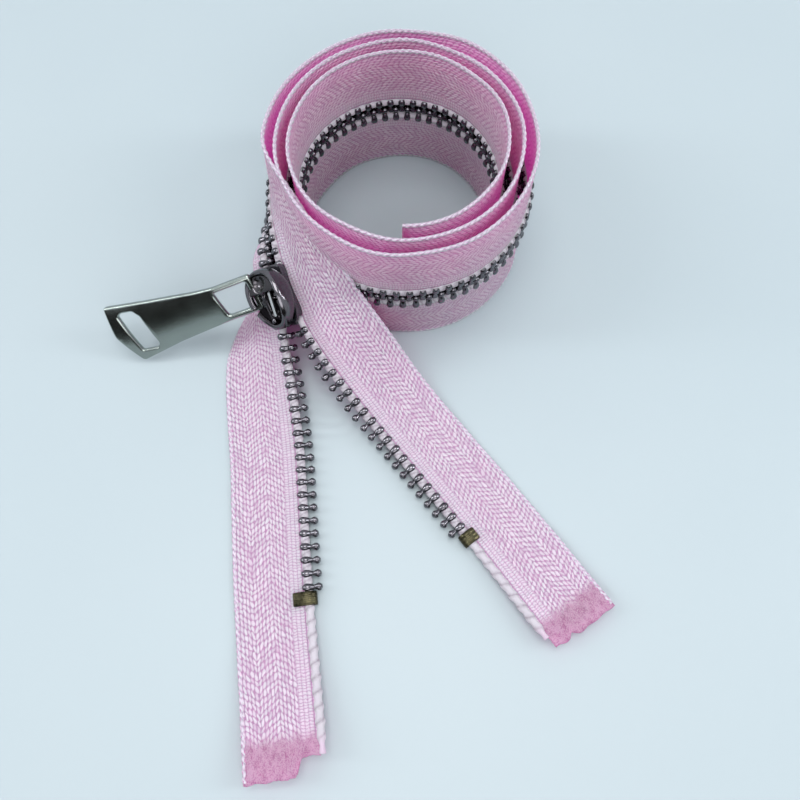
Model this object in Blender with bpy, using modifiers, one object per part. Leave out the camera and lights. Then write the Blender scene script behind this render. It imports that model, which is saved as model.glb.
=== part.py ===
"""A metal-toothed zipper, rolled up on its edge with the slider pulled back from its two open legs.

Lengths are in millimetres and are turned into metres where a mesh is made. +Z is up, and the zipper
stands on z = 0. Each half of the zipper is one strip: side -1 is the left half, the lower one where the
zipper stands on edge, and side +1 is the right half.
"""

import math

import bmesh
import bpy
import numpy as np
from mathutils import Matrix, Vector

MM = 0.001

# Tape and cord
HALF_WIDTH = 16.5  # from the chain's centre line to the tape's outer edge
TAPE_THICKNESS = 0.6
TAPE_START = 3.25  # from the centre line to the tape's inner edge
TAPE_BEND = 5.6  # the tape is flat with the chain up to here
CORD_RADIUS = 0.75
CORD_OFFSET = 2.1  # from the centre line to the cord's axis in the closed chain

# Teeth
TOOTH_PITCH = 2.5
TOOTH_THICKNESS = 1.3
TOOTH_HALF_HEIGHT = 1.15
TOOTH_HEAD = -2.8  # from the cord's axis towards the other half
TOOTH_TAIL = 0.85  # from the cord's axis towards the tape
ROW_HEAD = -2.0  # where a joined row of the closed chain ends, just short of the centre line
LEG_TEETH = {-1: 21, 1: 21}
FIRST_TOOTH = 1.6  # from the slider's mouth to the first free tooth

# The roll
COIL_CENTRE = np.array([10.0, 42.9])
COIL_FIRST_RADIUS = 19.3
COIL_TURNS = 2.75
TURN_SPACING = 2.85
TIGHT_SPACING = 0.4  # how much closer the turns lie at the far left, where the roll is squeezed
TIGHT_TURN = 0.625
TIGHT_SPREAD = 0.2
STEPS_PER_TURN = 20
BARE_START = 13.0  # tape and cord before the bottom stop

# The slider: the middle of its channel, and its three directions
SLIDER_CENTRE = np.array([-14.0, 20.2, 12.3])
SLIDER_HEADING = math.radians(-71.2)
SLIDER_DESCENT = math.radians(26.2)
SLIDER_ROLL = math.radians(45.0)
SLIDER_LENGTH = 12.5
REAR_HALF_WIDTH = 3.95
SHOULDER_HALF_WIDTH = 4.6
WING_THICKNESS = 0.85
CHANNEL_HEIGHT = 2.7
TAPE_SLOT = 1.3
MOUTH_OFFSET = 2.9  # from the slider's axis to each cord at its mouth
MOUTH_ANGLE = math.radians(14.0)

# The crown
CROWN_HALF_WIDTH = 3.5
CROWN_HEIGHT = 4.1
CROWN_WALL = 0.6

# The pull: its ring's bar, its two directions and its outline
PULL_BAR = np.array([-19.4, 19.9, 14.9])
PULL_LENGTH_AXIS = np.array([-0.935, -0.180, -0.310])
PULL_WIDTH_AXIS = np.array([0.36, -0.58, -0.73])
PULL_LENGTH = 31.8
PULL_POINT = 1.5
PULL_FAR_HALF_WIDTH = 6.7
PULL_RING_HALF_WIDTH = 3.75
RING_BAR = 1.3
RING_DEPTH = 6.3
PULL_THICKNESS = 1.3

# The open legs, along each cord's axis
LEG_CORD_HEIGHT = 1.45
LEG_ROUTE = {
    -1: [(-10.3, -11.8), (-7.6, -38.4), (-3.8, -65.4)],
    1: [(10.5, -11.4), (23.0, -27.0), (37.0, -46.0)],
}
UPRIGHT = math.radians(90)
REAR_TILT = math.radians(62)
LEG_LIFT_ANGLE = math.radians(27.0)  # of the right leg's outer edge at the slider
LEG_LANDING = 40.0
SAG_DEPTH = LEG_CORD_HEIGHT - TAPE_THICKNESS / 2  # from the cord's axis to the tape lying flat
SAG_AT_BEND = 0.35
CUT_STEP = 2.5  # how much further the tape reaches than its cord
STOP_LENGTH = 2.6
STOP_REACH = {-1: 4.2, 1: 2.8}
STOP_FROM_END = {-1: 27.4, 1: 23.8}

UP = np.array([0.0, 0.0, 1.0])


def unit(v):
    return v / np.linalg.norm(v)


def smooth(x):
    x = min(max(x, 0.0), 1.0)
    return x * x * (3 - 2 * x)


def slider_axes():
    """Along the slider towards its mouth, across it towards the right leg, and out of its crown."""
    level = np.array([math.cos(SLIDER_HEADING), math.sin(SLIDER_HEADING), 0.0])
    along = level * math.cos(SLIDER_DESCENT) - UP * math.sin(SLIDER_DESCENT)
    across_level = np.cross(UP, level)
    steepest = np.cross(along, across_level)
    steepest = steepest if steepest[2] > 0 else -steepest
    across = across_level * math.cos(SLIDER_ROLL) + steepest * math.sin(SLIDER_ROLL)
    return along, across, np.cross(along, across)


ALONG, ACROSS, OUT = slider_axes()


def in_slider(x, y, z):
    return SLIDER_CENTRE + x * ALONG + y * ACROSS + z * OUT


def hermite(p0, m0, p1, m1, q):
    a = 2 * q**3 - 3 * q**2 + 1
    b = q**3 - 2 * q**2 + q
    c = -2 * q**3 + 3 * q**2
    d = q**3 - q**2
    return a * p0 + b * m0 + c * p1 + d * m1


def level_side(tangent, side):
    """Level, square to the tangent, towards this half's outer edge."""
    return unit(np.cross(UP, tangent)) * side


def station(cord, across, normal, outer, sag=0.0):
    return {"cord": cord, "across": across, "normal": normal, "outer": outer, "sag": sag}


def floor_tilt(bend_height, sag=0.0):
    """How steeply the outer tape leans down to rest its edge on the floor."""
    lowered = bend_height - SAG_DEPTH * sag
    fall = min(max((lowered - TAPE_THICKNESS / 2) / (HALF_WIDTH - TAPE_BEND), 0.0), 1.0)
    return -math.asin(fall)


def outer_direction(tangent, side, tilt):
    return level_side(tangent, side) * math.cos(tilt) + UP * math.sin(tilt)


def coil_radius(turn):
    away = (turn - TIGHT_TURN + 0.5) % 1.0 - 0.5
    tight = math.exp(-((away / TIGHT_SPREAD) ** 2))
    return COIL_FIRST_RADIUS + (TURN_SPACING - TIGHT_SPACING * tight) * turn


def coil_stations(side):
    made = []
    for step in range(round(COIL_TURNS * STEPS_PER_TURN) + 1):
        turn = step / STEPS_PER_TURN
        radius = coil_radius(turn)
        angle = 2 * math.pi * turn
        outward = np.array([math.sin(angle), -math.cos(angle), 0.0])
        centre = np.array([*COIL_CENTRE, HALF_WIDTH]) + radius * outward
        across = UP * side
        made.append(station(centre + CORD_OFFSET * across, across, outward, across))
    return made


def approach_stations(side, steps=6):
    """From the roll to the slider, while the chain turns over."""
    start = np.array([COIL_CENTRE[0] - coil_radius(COIL_TURNS), COIL_CENTRE[1], HALF_WIDTH])
    end = in_slider(-SLIDER_LENGTH / 2, 0, 0)
    span = np.linalg.norm(end - start)
    made = []
    for step in range(1, steps + 1):
        q = step / steps
        centre = hermite(start, np.array([0, -span, 0]), end, ALONG * span, q)
        ahead = hermite(start, np.array([0, -span, 0]), end, ALONG * span, q + 0.01)
        tangent = unit(ahead - centre)
        blend = smooth(q)
        normal = unit(np.array([-1.0, 0, 0]) * (1 - blend) + OUT * blend)
        normal = unit(normal - tangent * (normal @ tangent))
        across = np.cross(normal, tangent) * side
        bend = centre + TAPE_BEND * across
        if side < 0:
            outer = outer_direction(tangent, side, floor_tilt(bend[2]))
        else:
            tilt = UPRIGHT + (REAR_TILT - UPRIGHT) * blend
            outer = outer_direction(tangent, side, tilt)
        made.append(station(centre + CORD_OFFSET * across, across, normal, outer))
    return made


def slider_stations(side):
    made = []
    half = SLIDER_LENGTH / 2
    for x in (-2.0, 2.0, half):
        spread = smooth((x + 2.0) / (half + 2.0))
        offset = CORD_OFFSET + (MOUTH_OFFSET - CORD_OFFSET) * spread
        across = ACROSS * side
        cord = in_slider(x, side * offset, 0)
        bend = cord + (TAPE_BEND - CORD_OFFSET) * across
        if side < 0:
            tilt = floor_tilt(bend[2])
        else:
            tilt = REAR_TILT + (LEG_LIFT_ANGLE - REAR_TILT) * (x + half) / (2 * half)
        made.append(station(cord, across, OUT, outer_direction(ALONG, side, tilt)))
    return made


def leg_curve(side):
    """The cord's axis from the slider's mouth to its cut end, evenly spaced."""
    mouth = in_slider(SLIDER_LENGTH / 2, side * MOUTH_OFFSET, 0)
    heading = ALONG * math.cos(MOUTH_ANGLE) + ACROSS * side * math.sin(MOUTH_ANGLE)
    points = [np.array([x, y, LEG_CORD_HEIGHT]) for x, y in LEG_ROUTE[side]]
    landed, stop, end = points
    last = unit(end - stop)
    first = unit(stop - landed)
    fine = []
    span = np.linalg.norm(landed - mouth)
    fine += [hermite(mouth, heading * span, landed, first * span, q) for q in np.linspace(0, 1, 40)]
    span = np.linalg.norm(stop - landed)
    middle = unit(first + last)
    fine += [hermite(landed, first * span, stop, middle * span, q) for q in np.linspace(0.05, 1, 30)]
    span = np.linalg.norm(end - stop)
    fine += [hermite(stop, middle * span, end, last * span, q) for q in np.linspace(0.05, 1, 30)]
    return np.array(fine)


def along_curve(curve, distance):
    """The point and the tangent at a distance along a curve of many points."""
    lengths = np.concatenate([[0], np.cumsum(np.linalg.norm(np.diff(curve, axis=0), axis=1))])
    distance = min(max(distance, 0.0), lengths[-1])
    point = np.array([np.interp(distance, lengths, curve[:, i]) for i in range(3)])
    index = min(np.searchsorted(lengths, distance, side="right"), len(curve) - 1)
    return point, unit(curve[index] - curve[index - 1])


def curve_length(curve):
    return np.linalg.norm(np.diff(curve, axis=0), axis=1).sum()


def leg_station(curve, side, distance):
    point, tangent = along_curve(curve, distance)
    landed = smooth(distance / 28.0)
    normal = unit(OUT * (1 - landed) + UP * landed)
    normal = unit(normal - tangent * (normal @ tangent))
    across = np.cross(normal, tangent) * side
    bend = point + (TAPE_BEND - CORD_OFFSET) * across
    tilt = floor_tilt(bend[2], landed)
    if side > 0:
        lift = 1 - smooth(distance / LEG_LANDING)
        tilt = LEG_LIFT_ANGLE * lift + tilt * (1 - lift)
    return station(point, across, normal, outer_direction(tangent, side, tilt), landed)


def leg_stations(side, steps=14):
    curve = leg_curve(side)
    total = curve_length(curve)
    return [leg_station(curve, side, total * step / steps) for step in range(1, steps + 1)]


def stations(side):
    return coil_stations(side) + approach_stations(side) + slider_stations(side) + leg_stations(side)


def collection(name):
    made = bpy.data.collections.new(name)
    bpy.context.scene.collection.children.link(made)
    return made


def material(name, colour, roughness, metallic=0.0):
    made = bpy.data.materials.new(name)
    made.use_nodes = True
    shader = made.node_tree.nodes["Principled BSDF"]
    shader.inputs["Base Color"].default_value = (*colour, 1)
    shader.inputs["Roughness"].default_value = roughness
    shader.inputs["Metallic"].default_value = metallic
    return made


def add_object(name, data, finish, home):
    made = bpy.data.objects.new(name, data)
    data.materials.append(finish)
    home.objects.link(made)
    return made


def loft(name, rings, finish, home):
    """One closed body through rings of the same number of points, with its ends filled."""
    made = bmesh.new()
    rows = [[made.verts.new(Vector(point) * MM) for point in ring] for ring in rings]
    for first, second in zip(rows, rows[1:]):
        for i in range(len(first)):
            j = (i + 1) % len(first)
            made.faces.new((first[i], first[j], second[j], second[i]))
    made.faces.new(list(reversed(rows[0])))
    made.faces.new(rows[-1])
    bmesh.ops.recalc_face_normals(made, faces=made.faces)
    mesh = bpy.data.meshes.new(name)
    made.to_mesh(mesh)
    made.free()
    return add_object(name, mesh, finish, home)


def tape_section(place):
    """The tape's four mid-thickness points, from its inner edge to its outer edge."""
    cord, across, outer, sag = (place[key] for key in ("cord", "across", "outer", "sag"))
    drop = UP * SAG_DEPTH * sag
    inner = cord + (TAPE_START - CORD_OFFSET) * across
    flat = cord + (TAPE_BEND - CORD_OFFSET) * across
    bend = flat - drop * SAG_AT_BEND
    middle = flat + outer * 3.0 - drop
    edge = flat + outer * (HALF_WIDTH - TAPE_BEND) - drop
    return [inner, bend, middle, edge]


def ribbon(name, sections, finish, home):
    """An open strip through the sections, made solid on both sides by half the tape's thickness."""
    made = bmesh.new()
    rows = [[made.verts.new(Vector(point) * MM) for point in row] for row in sections]
    for first, second in zip(rows, rows[1:]):
        for i in range(len(first) - 1):
            made.faces.new((first[i], first[i + 1], second[i + 1], second[i]))
    mesh = bpy.data.meshes.new(name)
    made.to_mesh(mesh)
    made.free()
    strip = add_object(name, mesh, finish, home)
    solidify = strip.modifiers.new("thickness", "SOLIDIFY")
    solidify.thickness = TAPE_THICKNESS * MM
    solidify.offset = 0
    return strip


def make_tape(name, side, finish, home):
    sections = [tape_section(place) for place in stations(side)]
    ahead = unit(sections[-1][0] - sections[-2][0])
    sections.append([point + ahead * CUT_STEP for point in sections[-1]])
    return ribbon(name, sections, finish, home)


def make_cord(name, side, finish, home):
    points = [place["cord"] for place in stations(side)]
    data = bpy.data.curves.new(name, "CURVE")
    data.dimensions = "3D"
    spline = data.splines.new("POLY")
    spline.points.add(len(points) - 1)
    for target, point in zip(spline.points, points):
        target.co = (*(point * MM), 1)
    data.bevel_depth = CORD_RADIUS * MM
    data.bevel_resolution = 1
    data.use_fill_caps = True
    return add_object(name, data, finish, home)


def clamp_outline(head, tail, half_height, wall):
    """A U around the cord, open towards the tape: pairs of distance across and height."""
    inside = half_height - wall
    nose = min(0.35, half_height / 2)
    return [
        (head, nose),
        (head, -nose),
        (-CORD_RADIUS - 0.25, -half_height),
        (tail, -half_height),
        (tail, -inside),
        (-CORD_RADIUS - 0.1, -inside),
        (-CORD_RADIUS - 0.1, inside),
        (tail, inside),
        (tail, half_height),
        (-CORD_RADIUS - 0.25, half_height),
    ]


def placed_outline(outline, place):
    return [place["cord"] + a * place["across"] + h * place["normal"] for a, h in outline]


def make_clamp(name, outline, place, tangent, length, finish, home):
    """One clamp around the cord, extruded along it."""
    rings = [
        [point + tangent * end for point in placed_outline(outline, place)]
        for end in (-length / 2, length / 2)
    ]
    return loft(name, rings, finish, home)


def chain_start_index():
    """The roll's first station past the bare start, where the closed chain begins."""
    step = 2 * math.pi * COIL_FIRST_RADIUS / STEPS_PER_TURN
    return math.ceil(BARE_START / step)


def make_row(name, side, finish, home):
    """The closed chain's teeth on one half, joined into one strip that ends inside the slider."""
    outline = clamp_outline(ROW_HEAD, TOOTH_TAIL, TOOTH_HALF_HEIGHT, 0.3)
    places = coil_stations(side) + approach_stations(side) + slider_stations(side)[:1]
    chain = places[chain_start_index():]
    return loft(name, [placed_outline(outline, place) for place in chain], finish, home)


def make_leg_teeth(side, finish, home):
    outline = clamp_outline(TOOTH_HEAD, TOOTH_TAIL, TOOTH_HALF_HEIGHT, 0.3)
    curve = leg_curve(side)
    half = "left" if side < 0 else "right"
    for number in range(LEG_TEETH[side]):
        distance = FIRST_TOOTH + number * TOOTH_PITCH
        place = leg_station(curve, side, distance)
        tangent = along_curve(curve, distance)[1]
        name = f"{half}_tooth_{number + 1:02d}"
        make_clamp(name, outline, place, tangent, TOOTH_THICKNESS, finish, home)


def make_top_stop(name, side, finish, home):
    outline = clamp_outline(-1.3, STOP_REACH[side], 1.3, 0.35)
    curve = leg_curve(side)
    distance = curve_length(curve) - STOP_FROM_END[side]
    place = leg_station(curve, side, distance)
    tangent = along_curve(curve, distance)[1]
    return make_clamp(name, outline, place, tangent, STOP_LENGTH, finish, home)


def make_bottom_stop(finish, home):
    """A clamp across both cords: two plates joined between the cords."""
    before, chain_start = coil_stations(1)[chain_start_index() - 1 : chain_start_index() + 1]
    centre = chain_start["cord"] - CORD_OFFSET * UP
    tangent = unit(chain_start["cord"] - before["cord"])
    out = np.cross(tangent, UP)
    web, plate, inside, outside = 0.9, 3.0, 0.95, 1.3
    outline = [
        (-plate, outside), (-plate, inside), (-web, inside), (-web, -inside),
        (-plate, -inside), (-plate, -outside), (plate, -outside), (plate, -inside),
        (web, -inside), (web, inside), (plate, inside), (plate, outside),
    ]
    rings = [
        [centre - tangent * gap + a * UP + h * out for a, h in outline]
        for gap in (STOP_LENGTH + 0.4, 0.4)
    ]
    return loft("bottom_stop", rings, finish, home)


def flat_mesh(name, outlines, low, high, home):
    """A mesh plate from closed outlines in millimetres: the first is its edge, the others are holes."""
    data = bpy.data.curves.new(name, "CURVE")
    data.dimensions = "2D"
    data.fill_mode = "BOTH"
    data.extrude = (high - low) / 2 * MM
    for outline in outlines:
        spline = data.splines.new("POLY")
        spline.points.add(len(outline) - 1)
        for target, (x, y) in zip(spline.points, outline):
            target.co = (x * MM, y * MM, 0, 1)
        spline.use_cyclic_u = True
    drawn = bpy.data.objects.new(name, data)
    home.objects.link(drawn)
    bpy.context.view_layer.update()
    evaluated = drawn.evaluated_get(bpy.context.evaluated_depsgraph_get())
    mesh = bpy.data.meshes.new_from_object(evaluated)
    bpy.data.objects.remove(drawn)
    welded = bmesh.new()
    welded.from_mesh(mesh)
    bmesh.ops.remove_doubles(welded, verts=welded.verts, dist=1e-6)
    bmesh.ops.translate(welded, verts=welded.verts, vec=(0, 0, (high + low) / 2 * MM))
    bmesh.ops.recalc_face_normals(welded, faces=welded.faces)
    welded.to_mesh(mesh)
    welded.free()
    return mesh


def block_mesh(name, low, high):
    made = bmesh.new()
    bmesh.ops.create_cube(made, size=1)
    for vert in made.verts:
        for i in range(3):
            vert.co[i] = (low[i] if vert.co[i] < 0 else high[i]) * MM
    mesh = bpy.data.meshes.new(name)
    made.to_mesh(mesh)
    made.free()
    return mesh


def cutter(name, mesh, parent, home):
    made = bpy.data.objects.new(name, mesh)
    home.objects.link(made)
    made.parent = parent
    made.hide_render = True
    made.display_type = "WIRE"
    return made


def cut(piece, tool, operation="DIFFERENCE"):
    boolean = piece.modifiers.new(tool.name, "BOOLEAN")
    boolean.operation = operation
    boolean.object = tool


def empty_at(name, point, axes, home):
    """An empty whose X, Y and Z run along the three axes."""
    made = bpy.data.objects.new(name, None)
    turn = Matrix([[axes[j][i] for j in range(3)] for i in range(3)]).to_4x4()
    made.matrix_world = Matrix.Translation(Vector(point) * MM) @ turn
    home.objects.link(made)
    return made


def mirrored(points):
    """A closed outline from its points with y above 0, given from the rear to the front."""
    return [(x, -y) for x, y in points] + [(x, y) for x, y in reversed(points) if y > 0]


def slider_outline():
    half = SLIDER_LENGTH / 2
    return mirrored([
        (-half, REAR_HALF_WIDTH - 0.8),
        (-half + 0.8, REAR_HALF_WIDTH),
        (-0.5, REAR_HALF_WIDTH + 0.15),
        (2.2, SHOULDER_HALF_WIDTH - 0.15),
        (3.6, SHOULDER_HALF_WIDTH),
        (5.3, SHOULDER_HALF_WIDTH - 0.6),
        (half, SHOULDER_HALF_WIDTH - 2.0),
    ])


def diamond_outline():
    return mirrored([(-0.6, 0.0), (2.2, 0.55), (4.6, 0.75), (5.7, 0.45)])


def channel_outline():
    """The room for the chain: one way in at the rear, opening to the full width at the mouth."""
    past = SLIDER_LENGTH / 2 + 2
    return mirrored([(-past, 3.35), (-1.5, 3.35), (3.6, 3.95), (past, 4.6)])


def make_slider(empty, finish, home, cutters):
    wall = CHANNEL_HEIGHT / 2 + WING_THICKNESS
    mesh = flat_mesh("slider_body", [slider_outline()], -wall, wall, home)
    body = add_object("slider_body", mesh, finish, home)
    body.parent = empty
    reach = SLIDER_LENGTH
    around = [(-reach, -reach), (reach, -reach), (reach, reach), (-reach, reach)]
    half = CHANNEL_HEIGHT / 2
    channel = flat_mesh("channel", [channel_outline(), diamond_outline()], -half, half, cutters)
    slot = flat_mesh("tape_slot", [around, diamond_outline()], -TAPE_SLOT / 2, TAPE_SLOT / 2, cutters)
    cut(body, cutter("channel", channel, empty, cutters))
    cut(body, cutter("tape_slot", slot, empty, cutters))
    hole = block_mesh("pin_hole", (2.6, 0.8, 1.2), (3.9, 1.7, 3.0))
    cut(body, cutter("pin_hole", hole, empty, cutters))
    return body


def leaf_outline(half_length, half_width, steps=7):
    """A leaf, widest a little in front of its middle."""
    points = []
    for step in range(steps + 1):
        q = step / steps
        x = -half_length + 2 * half_length * q
        width = half_width * math.sin(math.pi * min(max(q, 0.04), 0.97) ** 1.1) ** 0.55
        points.append((x, width))
    return mirrored(points)


def turned_mesh(name, radius, low, high):
    """A disc or a rod around the Y axis."""
    made = bmesh.new()
    turn = Matrix.Rotation(math.pi / 2, 4, "X")
    bmesh.ops.create_cone(
        made, cap_ends=True, segments=20, radius1=radius * MM, radius2=radius * MM,
        depth=(high - low) * MM, matrix=Matrix.Translation((0, (high + low) / 2 * MM, 0)) @ turn,
    )
    mesh = bpy.data.meshes.new(name)
    made.to_mesh(mesh)
    made.free()
    return mesh


def cut_ring_room(crown, swing, cutters):
    """Room in the crown for the ring's bar to turn and for its two arms to swing."""
    arm = PULL_RING_HALF_WIDTH - RING_BAR / 2
    half = RING_BAR / 2 + 0.25
    rod = turned_mesh("ring_bar_room", 1.0, -arm - half, arm + half)
    cut(crown, cutter("ring_bar_room", rod, swing, cutters))
    for name, middle, radius in (("rear_arm_room", -arm, 2.7), ("front_arm_room", arm, 3.2)):
        disc = turned_mesh(name, radius, middle - half, middle + half)
        cut(crown, cutter(name, disc, swing, cutters))


def make_crown(empty, swing, finish, home, cutters):
    base = CHANNEL_HEIGHT / 2 + WING_THICKNESS + 0.05
    top = base + CROWN_HEIGHT
    outer = leaf_outline(6.1, CROWN_HALF_WIDTH)
    mesh = flat_mesh("slider_crown", [outer], base, top, home)
    crown = add_object("slider_crown", mesh, finish, home)
    crown.parent = empty
    inner = leaf_outline(5.3, CROWN_HALF_WIDTH - CROWN_WALL)
    hollow = flat_mesh("crown_hollow", [inner], base - 1, top - CROWN_WALL, cutters)
    cut(crown, cutter("crown_hollow", hollow, empty, cutters))
    cut_ring_room(crown, swing, cutters)
    return crown


def make_lock_spring(empty, finish, home):
    """A leaf spring under the crown, bent down at its front into the pin that stops the chain."""
    low, strip, thickness = 1.0, 4.6, 0.35
    profile = [
        (-3.6, strip), (-3.6, strip + thickness), (3.6, strip + thickness),
        (3.6, low), (2.9, low), (2.9, strip),
    ]
    rings = [[(x, y, z) for x, z in profile] for y in (0.95, 1.55)]
    spring = loft("lock_spring", rings, finish, home)
    spring.parent = empty
    return spring


def rounded_corner(corner, before, after, radius, steps=3):
    """Points that round one corner of an outline."""
    corner, before, after = (np.array(p, float) for p in (corner, before, after))
    start = corner + unit(before - corner) * radius
    end = corner + unit(after - corner) * radius
    made = []
    for step in range(steps + 1):
        q = step / steps
        made.append(tuple((1 - q) ** 2 * start + 2 * q * (1 - q) * corner + q**2 * end))
    return made


def rounded(points, radius, steps=3):
    made = []
    for i, point in enumerate(points):
        made += rounded_corner(point, points[i - 1], points[(i + 1) % len(points)], radius, steps)
    return made


def make_pull(empty, finish, home):
    far = PULL_LENGTH - PULL_POINT
    ring = PULL_RING_HALF_WIDTH
    edge = rounded([
        (-RING_BAR / 2, -ring), (RING_DEPTH, -ring), (far, -PULL_FAR_HALF_WIDTH), (PULL_LENGTH, 0),
        (far, PULL_FAR_HALF_WIDTH), (RING_DEPTH, ring), (-RING_BAR / 2, ring),
    ], 0.9)
    inside = ring - RING_BAR
    window = rounded([
        (RING_BAR / 2, -inside), (RING_DEPTH - 0.3, -inside),
        (RING_DEPTH - 0.3, inside), (RING_BAR / 2, inside),
    ], 0.6)
    slot_low, slot_high, slot_half = 23.4, 27.9, 4.6
    slot = [
        (slot_low, -slot_half + 1.2), (slot_low + 1.0, -slot_half), (slot_high, -slot_half + 0.4),
        (slot_high, slot_half - 0.4), (slot_low + 1.0, slot_half), (slot_low, slot_half - 1.2),
    ]
    half = PULL_THICKNESS / 2
    mesh = flat_mesh("pull_tab", [edge, window, slot], -half, half, home)
    pull = add_object("pull_tab", mesh, finish, home)
    pull.parent = empty
    rim = pull.modifiers.new("rim", "BEVEL")
    rim.width = 0.3 * MM
    rim.segments = 1
    rim.limit_method = "ANGLE"
    rim.angle_limit = math.radians(50)
    return pull


def pull_axes():
    length = unit(PULL_LENGTH_AXIS)
    width = unit(PULL_WIDTH_AXIS - length * (PULL_WIDTH_AXIS @ length))
    return length, width, np.cross(length, width)


def main():
    for old in list(bpy.data.objects):
        bpy.data.objects.remove(old)
    parts = collection("zipper")
    cutters = collection("cutters")
    cutters.hide_render = True
    pink = material("pink_tape", (0.80, 0.52, 0.66), 0.85)
    white = material("white_cord", (0.82, 0.78, 0.82), 0.8)
    nickel = material("black_nickel", (0.24, 0.23, 0.25), 0.18, 1.0)
    tooth_metal = material("tooth_nickel", (0.30, 0.28, 0.31), 0.25, 1.0)
    brass = material("antique_brass", (0.16, 0.12, 0.07), 0.35, 1.0)
    steel = material("spring_steel", (0.5, 0.5, 0.5), 0.3, 1.0)
    for side, half in ((-1, "left"), (1, "right")):
        make_tape(f"{half}_tape", side, pink, parts)
        make_cord(f"{half}_cord", side, white, parts)
        make_row(f"{half}_closed_teeth", side, tooth_metal, parts)
        make_leg_teeth(side, tooth_metal, parts)
        make_top_stop(f"{half}_top_stop", side, brass, parts)
    make_bottom_stop(brass, parts)
    slider = empty_at("slider_axis", SLIDER_CENTRE, (ALONG, ACROSS, OUT), parts)
    make_slider(slider, nickel, parts, cutters)
    swing = empty_at("pull_axis", PULL_BAR, pull_axes(), parts)
    make_crown(slider, swing, nickel, parts, cutters)
    make_lock_spring(slider, steel, parts)
    make_pull(swing, nickel, parts)


main()
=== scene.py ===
"""A pink metal-toothed zipper, rolled up on its edge, with its slider pulled back from two open legs.

Lengths here are in millimetres and are turned into metres where a mesh is made. Side -1 is the left half
of the zipper, the lower one where it stands on edge, and side +1 is the right half.
"""

import math

import bmesh
import bpy
import numpy as np
from mathutils import Matrix, Vector


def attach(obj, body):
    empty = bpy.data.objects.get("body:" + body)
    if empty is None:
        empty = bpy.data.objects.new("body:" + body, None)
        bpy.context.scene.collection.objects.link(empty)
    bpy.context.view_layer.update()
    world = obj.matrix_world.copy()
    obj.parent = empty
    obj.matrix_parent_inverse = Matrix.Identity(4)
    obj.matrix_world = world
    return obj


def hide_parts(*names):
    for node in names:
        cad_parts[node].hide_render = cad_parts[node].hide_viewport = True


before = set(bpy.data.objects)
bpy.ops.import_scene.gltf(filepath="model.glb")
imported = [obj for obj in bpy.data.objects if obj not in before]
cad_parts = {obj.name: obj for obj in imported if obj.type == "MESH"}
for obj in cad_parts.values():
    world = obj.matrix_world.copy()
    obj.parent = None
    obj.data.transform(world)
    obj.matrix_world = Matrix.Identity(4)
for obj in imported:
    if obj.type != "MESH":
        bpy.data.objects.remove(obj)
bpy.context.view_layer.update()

MM = 0.001
UP = np.array([0.0, 0.0, 1.0])

# The zipper's route, as the CAD has it
HALF_WIDTH = 16.5
TAPE_THICKNESS = 0.5
TAPE_BEND = 5.6
CORD_OFFSET = 2.1
TOOTH_PITCH = 2.5
LEG_TEETH = {-1: 21, 1: 21}
LEG_SPREAD = {-1: 1.4, 1: 0.4}
FIRST_TOOTH = 1.6
COIL_CENTRE = np.array([10.0, 42.9])
COIL_FIRST_RADIUS = 19.3
COIL_TURNS = 2.75
TURN_SPACING = 2.85
TIGHT_SPACING = 0.4
TIGHT_TURN = 0.625
TIGHT_SPREAD = 0.2
CHAIN_START_TURN = 0.15
CHAIN_INTO_SLIDER = 4.25
SLIDER_CENTRE = np.array([-14.0, 20.2, 12.3])
SLIDER_HEADING = math.radians(-71.2)
SLIDER_DESCENT = math.radians(26.2)
SLIDER_ROLL = math.radians(45.0)
SLIDER_LENGTH = 12.5
HALF_SLIDER = SLIDER_LENGTH / 2
MOUTH_OFFSET = 2.9
MOUTH_ANGLE = math.radians(14.0)
LEG_CORD_HEIGHT = 1.45
LEG_ROUTE = {
    -1: [(-10.3, -11.8), (-7.6, -38.4), (-3.8, -65.4)],
    1: [(10.5, -11.4), (23.0, -27.0), (37.0, -46.0)],
}
UPRIGHT = math.radians(90)
REAR_TILT = math.radians(62)
LEG_LIFT_ANGLE = math.radians(27.0)
LEG_LANDING = 40.0
LEG_FLAT_AT = 28.0  # how far from the slider a leg's chain lies level
SAG_DEPTH = LEG_CORD_HEIGHT - 0.3
SAG_FROM, SAG_OVER = 2.9, 5.4  # where across the tape it sinks to the floor
BEND_FROM, BEND_OVER = 4.5, 2.4  # and where it bends from the chain's plane to its own
CUT_STEP = 2.5
STOP_FROM_END = {-1: 27.4, 1: 23.8}
STOP_REACH = {-1: 3.0, 1: 1.9}
STOP_LENGTH = 2.6
PULL_BAR = np.array([-19.4, 19.9, 14.9])
PULL_LENGTH_AXIS = np.array([-0.935, -0.180, -0.310])
PULL_WIDTH_AXIS = np.array([0.36, -0.58, -0.73])
HALF_NAMES = {-1: "left", 1: "right"}
EVEN_STEP = 0.5
EASE_OVER = 2.6
END_LIFT = {-1: 3.0, 1: 1.6}  # how far each leg's cut end rises off the floor
END_LIFT_OVER = 30.0


def unit(v):
    return v / np.linalg.norm(v)


def units(rows):
    """Each row made one long."""
    return rows / np.linalg.norm(rows, axis=1, keepdims=True)


def runs_along(points):
    """Distance run at each point of a polyline."""
    return np.concatenate([[0], np.cumsum(np.linalg.norm(np.diff(points, axis=0), axis=1))])


def squared_up(tangent, normal, side):
    """The normal made square to the tangent, and the direction across."""
    normal = unit(normal - tangent * (normal @ tangent))
    return normal, np.cross(normal, tangent) * side


def smooth(x):
    """An S-shaped step from 0 at 0 to 1 at 1, of a number or an array."""
    x = np.clip(x, 0.0, 1.0)
    return x * x * (3 - 2 * x)


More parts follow.
